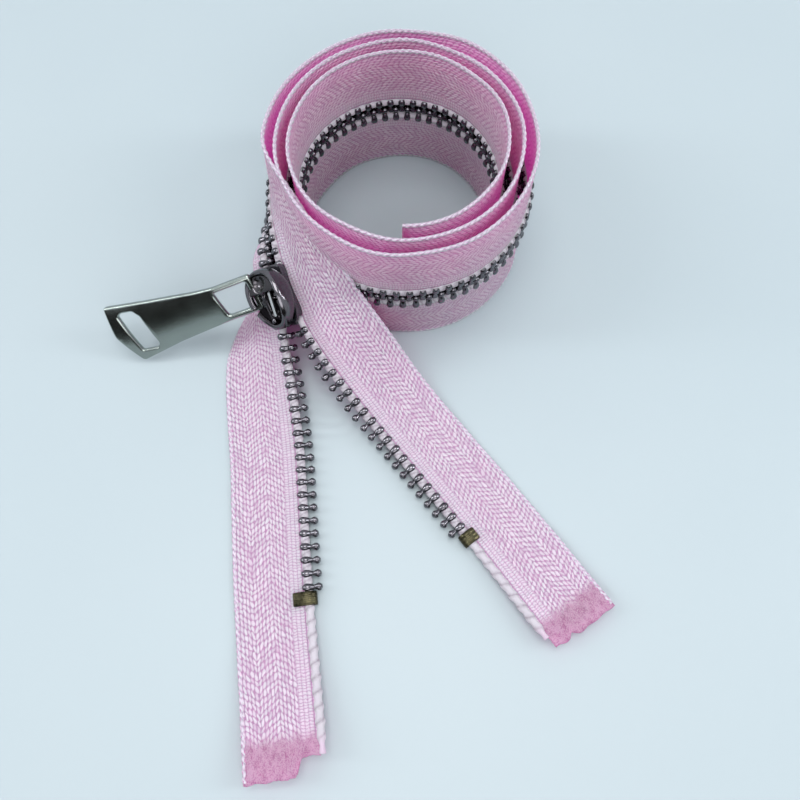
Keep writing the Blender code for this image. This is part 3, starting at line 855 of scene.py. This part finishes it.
def lathe(name, profile, sides, finish, matrix):
    """A closed turned body from (radius, height) pairs, both ends at radius 0."""
    points = [(0.0, 0.0, profile[0][1])]
    inner = profile[1:-1]
    for radius, height in inner:
        points += [(radius * math.cos(a), radius * math.sin(a), height) for a in full_turn(sides)]
    points.append((0.0, 0.0, profile[-1][1]))
    faces = [[i + 1 for i in quad] for quad in grid_faces(len(inner), sides, closed=True)]
    faces += fan(1, sides, 0) + fan(1 + (len(inner) - 1) * sides, sides, len(points) - 1)
    return finish_edges(mesh_object(name, points, faces, finish, matrix=matrix), 40)


def dome(radius, height, wall=0.15):
    """The profile of a small cap: a short wall with a round top."""
    steps = 6
    angles = [math.pi / 2 * step / steps for step in range(1, steps)]
    round_top = [(radius * math.cos(a), wall + height * math.sin(a)) for a in angles]
    return [(0.0, 0.0), (radius, 0.0)] + round_top + [(0.0, wall + height)]


def rounded(points, radius, steps=5):
    made = []
    for i, corner in enumerate(points):
        before, after = points[i - 1], points[(i + 1) % len(points)]
        corner, before, after = (np.array(p, float) for p in (corner, before, after))
        start = corner + unit(before - corner) * radius
        end = corner + unit(after - corner) * radius
        for step in range(steps + 1):
            q = step / steps
            made.append(tuple((1 - q) ** 2 * start + 2 * q * (1 - q) * corner + q**2 * end))
    return made


def pull_place():
    length = unit(PULL_LENGTH_AXIS)
    width = unit(PULL_WIDTH_AXIS - length * (PULL_WIDTH_AXIS @ length))
    return placing(PULL_BAR, (length, width, np.cross(length, width)))


def make_pull(finish):
    """The pull: a flat casting with a ring's window and a slot, bowed along and crowned across."""
    near, far_side, bar = RING_NEAR, RING_FAR, RING_BAR
    edge = rounded([
        (-bar / 2, near), (7.6, near), (11.6, -4.1), (22.0, -5.65), (30.7, -7.15), (31.5, -0.5),
        (29.0, 6.5), (19.0, 5.1), (7.0, far_side), (-bar / 2, far_side),
    ], 0.7)
    window = rounded([
        (bar / 2, near + bar), (7.7, near + bar), (6.9, far_side - bar), (bar / 2, far_side - bar),
    ], 0.7)
    slot = rounded([
        (24.3, -3.1), (25.3, -4.6), (27.6, -5.0), (28.6, -4.5), (27.8, 4.1), (24.4, 4.6), (23.6, 3.6),
    ], 0.35, 3)
    mesh = plate_mesh("pull", [edge, window, slot], -PULL_THICKNESS / 2, PULL_THICKNESS / 2, 0.36, 4)
    work = bmesh.new()
    work.from_mesh(mesh)
    bmesh.ops.triangulate(work, faces=[f for f in work.faces if len(f.verts) > 4])
    for axis, first, last in (((1, 0, 0), 7.0, 31.5), ((0, 1, 0), -6.4, 6.5)):
        for cut in np.arange(first, last, 0.8):
            bmesh.ops.bisect_plane(
                work, geom=work.verts[:] + work.edges[:] + work.faces[:], dist=1e-7,
                plane_co=Vector(axis) * cut * MM, plane_no=axis,
            )
    for vert in work.verts:
        x, y = vert.co.x / MM, vert.co.y / MM
        along = min(max((x - 6.0) / 24.0, 0), 1)
        bow = 0.2 * math.sin(math.pi * along)
        crown = 0.75 * (1 - ((y + 1.5) / 6.7) ** 2) * smooth((x - 4.0) / 3.8)
        vert.co.z += (crown - bow) * MM
    work.to_mesh(mesh)
    work.free()
    return finish_edges(object_of("pull_casting", mesh, finish, pull_place()), 35)


# Materials

BAND_START = 5.7
BAND_WIDTH = 3.5
STITCH_ACROSS = 0.7
STITCH_ALONG = 1.15
STITCH_STEP = 0.42


def maths(operation):
    """A method of Wire that adds one Math node."""

    def method(self, *others):
        node = self.nodes.add("Math", enumerate((self, *others)), operation=operation)
        return Wire(self.nodes, node.outputs[0])

    return method


class Wire:
    """A value in a node tree, with arithmetic that adds Math nodes."""

    def __init__(self, nodes, socket):
        self.nodes = nodes
        self.socket = socket

    __add__ = maths("ADD")
    __sub__ = maths("SUBTRACT")
    __mul__ = maths("MULTIPLY")
    __truediv__ = maths("DIVIDE")
    sin = maths("SINE")
    floor = maths("FLOOR")
    fract = maths("FRACT")
    power = maths("POWER")
    absolute = maths("ABSOLUTE")
    pingpong = maths("PINGPONG")
    least = maths("MINIMUM")
    most = maths("MAXIMUM")

    def inverse(self):
        return (self * -1.0) + 1.0

    def power2(self):
        return self * self

    def ramp(self, low, high):
        inputs = {"Value": self, "From Min": low, "From Max": high}
        node = self.nodes.add("MapRange", inputs, interpolation_type="SMOOTHSTEP")
        return Wire(self.nodes, node.outputs["Result"])

    def between(self, low, high):
        """The 0 to 1 value mapped to low to high."""
        return self * (high - low) + low


class Nodes:
    """A node tree being built, with the helpers that materials and the world need."""

    def __init__(self, tree):
        self.tree = tree

    def put(self, socket, value):
        """Feeds a socket from a wire, another socket, a colour or a number."""
        if isinstance(value, Wire):
            self.tree.links.new(value.socket, socket)
        elif isinstance(value, bpy.types.NodeSocket):
            self.tree.links.new(value, socket)
        elif isinstance(value, tuple):
            socket.default_value = (*value, 1)
        else:
            socket.default_value = value

    def add(self, kind, inputs=(), **settings):
        """A new node with these settings, and with values fed to inputs by name or number."""
        node = configure(self.tree.nodes.new(f"ShaderNode{kind}"), **settings)
        for name, value in dict(inputs).items():
            self.put(node.inputs[name], value)
        return node

    def split(self, vector):
        return [Wire(self, output) for output in self.add("SeparateXYZ", {0: vector}).outputs]

    def combine(self, *values):
        return self.add("CombineXYZ", enumerate(values)).outputs[0]

    def coordinates(self, kind):
        return self.add("TexCoord").outputs[kind]

    def noise(self, vector, scale, detail):
        inputs = {"Vector": vector, "Scale": scale, "Detail": detail, "Roughness": 0.55}
        return Wire(self, self.add("TexNoise", inputs).outputs["Fac"])

    def random(self, vector):
        return Wire(self, self.add("TexWhiteNoise", {"Vector": vector}, noise_dimensions="3D").outputs["Value"])

    def colours(self, factor, *stops):
        """A colour by position: stops are (position, (r, g, b))."""
        node = self.add("ValToRGB", {0: factor})
        elements = node.color_ramp.elements
        while len(elements) < len(stops):
            elements.new(0.5)
        for element, (position, colour) in zip(elements, stops):
            element.position = position
            element.color = (*colour, 1)
        return node.outputs[0]

    def mix(self, factor, first, second):
        return self.add("Mix", {0: factor, 6: first, 7: second}, data_type="RGBA").outputs[2]


class Finish(Nodes):
    """A material being built on its Principled shader."""

    def __init__(self, name):
        self.material = bpy.data.materials.new(name)
        self.material.use_nodes = True
        super().__init__(self.material.node_tree)
        self.shader = self.tree.nodes["Principled BSDF"]

    def set(self, **values):
        for name, value in values.items():
            self.shader.inputs[name.replace("_", " ")].default_value = value

    def link(self, name, value):
        self.put(self.shader.inputs[name], value)

    def weave(self):
        """The mesh's (across, along, worn) values."""
        node = self.add("Attribute", attribute_type="GEOMETRY", attribute_name="weave")
        return self.split(node.outputs["Vector"])

    def bump(self, height, distance):
        node = self.add("Bump", {"Strength": 1.0, "Distance": distance * MM, "Height": height})
        self.link("Normal", node.outputs[0])
        return node.outputs[0]

    def translucent(self, share, colour, normal):
        """Mixes in light that comes through the cloth."""
        through = self.add("BsdfTranslucent", {"Color": colour, "Normal": normal}).outputs[0]
        both = self.add("MixShader", {0: share, 1: self.shader.outputs[0], 2: through}).outputs[0]
        self.put(self.tree.nodes["Material Output"].inputs["Surface"], both)


def tape_finish():
    cloth = Finish("pink_herringbone_tape")
    u, v, fused = cloth.weave()
    wander = cloth.noise(cloth.combine(u * 0.12, v * 0.12), 1.0, 2.0) - 0.5
    jitter = cloth.noise(cloth.combine(u * 0.7, v * 0.5), 1.0, 2.0) - 0.5
    slip = cloth.noise(cloth.combine(u * 0.9 + 7.0, v * 0.5), 1.0, 2.0) - 0.5
    v = v + wander * 1.2 + slip * 1.2
    u_laid = u + jitter * 0.8
    # Herringbone: columns of long stitches, stepped one way in one band and the other way in the next.
    band = (u_laid - BAND_START).pingpong(BAND_WIDTH)
    across = band / STITCH_ACROSS
    along = v / STITCH_ALONG + across.floor() * STITCH_STEP
    x = across.fract() - 0.5
    y = (along + x * 0.6).fract() - 0.5
    grain = ((x * 2.0).power2() + (y * 2.0).power2()).inverse().most(0.0).power(0.7)
    odd = cloth.random(cloth.combine(across.floor(), (along + x * 0.6).floor(), (u_laid / 3.5).floor()))
    grain = grain * odd.between(0.3, 1.16)
    # Beside the cord, ladders of short crosswise stitches.
    ladder = ((u - 3.1) / 0.82 * math.pi).sin().absolute().power(0.6)
    bars = (v / 0.56 * math.pi).sin().absolute().power(0.7)
    outer_share = u.ramp(5.5, 5.8)
    height = outer_share * grain + outer_share.inverse() * (ladder * bars * 0.8)
    # A groove beside the cord lowers the relief, and through the colour ramp below it becomes painted shade.
    groove = ((u - 2.98).absolute() / 0.26).least(1.0)
    height = height * groove
    threads = cloth.noise(cloth.combine(u * 6.5, v * 4.0), 1.0, 3.0)
    melted = cloth.noise(cloth.combine(u * 0.9, v * 0.6), 1.0, 2.0)
    dots = cloth.noise(cloth.combine(u * 4.2, v * 3.8), 1.0, 1.0)
    woven = height * 0.8 + threads * 0.34 - 0.02
    cooked = melted * 0.42 + dots * 0.58
    relief = fused.inverse() * woven + fused * (cooked * 0.3 + woven * 0.2)
    # The colour follows the relief: painted shade in the weave's valleys and in the groove beside the cord,
    # painted highlight on the raised stitches.
    body = cloth.colours(
        woven, (0.06, (0.30, 0.21, 0.34)), (0.42, (0.73, 0.78, 0.83)), (0.85, (0.88, 0.98, 1.0)),
    )
    burnt = cloth.colours(cooked, (0.36, (0.22, 0.14, 0.20)), (0.55, (0.50, 0.43, 0.50)))
    cloth.link("Base Color", cloth.mix(fused, body, burnt))
    cloth.link("Roughness", fused.between(0.7, 0.42))
    cloth.set(Sheen_Weight=0.2, Sheen_Roughness=0.4, Specular_IOR_Level=0.3)
    normal = cloth.bump(relief, 0.2)
    cloth.translucent(0.52, (1.0, 0.13, 0.68), normal)
    return cloth.material


def yarn_finish(name, light, dark, wind, ply, sharp=0.7):
    cloth = Finish(name)
    turn, along, fused = cloth.weave()
    strand = ((turn * ply + along / wind) * (2 * math.pi)).sin() * 0.5 + 0.5
    fluff = cloth.noise(cloth.combine(turn * 11.0, along * 5.0), 1.0, 3.0)
    height = strand.power(sharp) * 0.6 + fluff * 0.75 - 0.1
    # The colour follows the twist's relief: painted shade in the grooves between the strands.
    body = cloth.colours(height, (0.1, dark), (0.75, light))
    cloth.link("Base Color", cloth.mix(fused, body, (0.54, 0.42, 0.52)))
    cloth.set(Roughness=0.75, Sheen_Weight=0.3, Sheen_Roughness=0.4, Specular_IOR_Level=0.25)
    normal = cloth.bump(height, 0.1)
    cloth.translucent(0.15, (0.9, 0.6, 0.76), normal)
    return cloth.material


def metal_finish(name, light, dark, rough, scratch, bump=0.02):
    metal = Finish(name)
    here = metal.coordinates("Object")
    cloud = metal.noise(here, 260.0, 4.0)
    fine = metal.noise(here, 2400.0, 3.0)
    tone = cloud * 0.7 + fine * 0.3
    metal.link("Base Color", metal.colours(tone, (0.3, dark), (0.7, light)))
    metal.link("Roughness", (cloud * scratch) + (fine * scratch * 0.6) + rough)
    metal.set(Metallic=1.0)
    metal.bump(fine * 0.6 + cloud * 0.4, bump)
    return metal.material


def brass_finish():
    metal = Finish("antique_brass")
    here = metal.coordinates("Object")
    cloud = metal.noise(here, 500.0, 4.0)
    streak = metal.noise(here, 1800.0, 2.0)
    tone = cloud * 0.6 + streak * 0.4
    metal.link("Base Color", metal.colours(tone, (0.35, (0.012, 0.011, 0.008)), (0.66, (0.10, 0.09, 0.05))))
    metal.link("Roughness", tone.between(0.34, 0.2))
    metal.set(Metallic=1.0)
    metal.bump(tone, 0.05)
    return metal.material


def floor_finish():
    ground = Finish("studio_floor")
    here = ground.coordinates("Object")
    soft = ground.noise(here, 6.0, 3.0)
    ground.link("Base Color", ground.colours(soft, (0.2, (0.32, 0.375, 0.40)), (0.8, (0.355, 0.405, 0.425))))
    ground.link("Roughness", soft.between(0.42, 0.5))
    ground.set(Specular_IOR_Level=0.35)
    return ground.material


# The object

tape = tape_finish()
# Each yarn's second, darker colour is painted shade in its twist's grooves.
selvedge = yarn_finish("white_selvedge_yarn", (0.58, 0.52, 0.60), (0.34, 0.24, 0.34), 1.2, 2.0)
cord_white = yarn_finish("white_cord_yarn", (0.50, 0.47, 0.51), (0.19, 0.155, 0.19), 1.0, 1.0, 0.3)
tooth_metal = metal_finish("gunmetal_teeth", (0.19, 0.18, 0.20), (0.09, 0.085, 0.095), 0.08, 0.12)
pull_nickel = metal_finish("black_nickel_pull", (0.36, 0.40, 0.37), (0.29, 0.32, 0.30), 0.10, 0.1, bump=0.012)
black_nickel = metal_finish("black_nickel", (0.16, 0.152, 0.165), (0.10, 0.095, 0.105), 0.08, 0.08, bump=0.008)
# A darker copy of the black nickel for the crown's sunk middle: painted shade in the recess.
shaded_well_nickel = metal_finish("black_nickel_shaded_well", (0.09, 0.085, 0.09), (0.05, 0.045, 0.05), 0.12, 0.1, bump=0.01)
brass = brass_finish()
spring_steel = metal_finish("spring_steel", (0.6, 0.6, 0.6), (0.5, 0.5, 0.5), 0.2, 0.1)

for side in (-1, 1):
    half = HALF_NAMES[side]
    woven, flat_length = make_tape(side, tape)
    rope = make_selvedge(side, selvedge)
    bead = make_cord(side, cord_white)
    chain = make_teeth(f"{half}_chain_teeth", side, ROUTES[side].closed_teeth(), tooth_metal, 5 + side)
    free = make_teeth(f"{half}_leg_teeth", side, ROUTES[side].leg_teeth(), tooth_metal, 9 + side)
    stop = make_top_stop(side, brass)
    for piece, slot in (
        (woven, "tape"), (rope, "cord"), (bead, "cord"), (chain, "teeth"), (free, "teeth"), (stop, "stops"),
    ):
        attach(piece, "chain")
    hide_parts(f"{half}_tape")
    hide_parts(f"{half}_cord")
    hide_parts(f"{half}_closed_teeth")
    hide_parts(*[f"{half}_tooth_{n + 1:02d}" for n in range(LEG_TEETH[side])])
    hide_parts(f"{half}_top_stop")

wings = make_slider_body(black_nickel)
rim, well = make_crown(black_nickel, shaded_well_nickel)
crimp = lathe(
    "crown_front_crimp", dome(0.55, 0.3), 18, black_nickel,
    SLIDER_PLACE @ Matrix.Translation((4.35 * MM, 0, (CROWN_BASE + crown_top(4.35) - 0.95) * MM)),
)
for piece in (wings, rim, well, crimp):
    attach(piece, "slider")
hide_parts("slider_body")
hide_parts("slider_crown")
casting = make_pull(pull_nickel)
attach(casting, "pull")
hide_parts("pull_tab")

for name, finish in (("bottom_stop", brass), ("lock_spring", spring_steel)):
    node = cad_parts[name]
    for slot in node.material_slots:
        slot.material = finish


# Floor, light and camera

FLOOR_REACH = 3000.0
FLOOR_LEVEL = -0.02
corners = [(x * FLOOR_REACH, y * FLOOR_REACH, FLOOR_LEVEL) for x, y in ((-1, -1), (1, -1), (1, 1), (-1, 1))]
mesh_object("floor", corners, [[0, 1, 2, 3]], floor_finish(), closed=False)


def area_light(name, place_at, target, size, power, colour):
    data = configure(bpy.data.lights.new(name, "AREA"), shape="RECTANGLE", energy=power, color=colour)
    data.size, data.size_y = size
    made = bpy.data.objects.new(name, data)
    made.location = place_at
    made.rotation_euler = (Vector(target) - Vector(place_at)).to_track_quat("-Z", "Y").to_euler()
    bpy.context.scene.collection.objects.link(made)


area_light("overhead", (0.0, 0.06, 0.85), (0, 0, 0), (0.50, 0.50), 4.6, (1.0, 1.0, 1.0))
area_light("front", (0.10, -0.62, 0.62), (0, 0, 0.01), (0.7, 0.5), 2.6, (1.0, 0.99, 0.99))
for light, place_x, green in (("left_tube", -0.65, 0.99), ("right_tube", 0.65, 0.98)):
    area_light(light, (place_x, 0.05, 0.45), (0, 0, 0), (0.10, 0.5), 2.2, (0.96, green, 1.0))


def make_world():
    """A bright room with dark corners overhead and behind the camera, for the metal to reflect."""
    world = bpy.data.worlds.new("studio")
    world.use_nodes = True
    sky = Nodes(world.node_tree)
    _, y, z = sky.split(sky.coordinates("Generated"))
    high, corner = (0.80, 0.85, 0.90), (0.14, 0.15, 0.16)
    room = sky.colours(
        z, (0.0, (0.55, 0.60, 0.63)), (0.10, (0.62, 0.66, 0.70)), (0.60, (0.72, 0.77, 0.83)),
        (0.84, high), (0.94, corner),
    )
    unlit = (0.015, 0.015, 0.015)
    behind_camera = sky.colours(
        z, (0.0, (0.20, 0.22, 0.22)), (0.05, (0.06, 0.065, 0.065)), (0.11, unlit), (0.42, unlit),
        (0.52, (0.75, 0.80, 0.88)), (0.84, high), (0.94, corner),
    )
    share = sky.colours(y * -1.0, (0.45, (0, 0, 0)), (0.7, (1, 1, 1)))
    background = sky.tree.nodes["Background"]
    sky.put(background.inputs["Color"], sky.mix(share, room, behind_camera))
    background.inputs["Strength"].default_value = 1.25
    bpy.context.scene.world = world


make_world()


def make_camera():
    data = configure(bpy.data.cameras.new("camera"), sensor_width=36.0, lens=35.55, clip_start=0.005)
    made = bpy.data.objects.new("camera", data)
    made.location = (0.0096, -0.0541, 0.155)
    made.rotation_euler = (math.radians(20.0), 0, 0)
    bpy.context.scene.collection.objects.link(made)
    bpy.context.scene.camera = made


make_camera()
bpy.context.scene.view_settings.view_transform = "Standard"
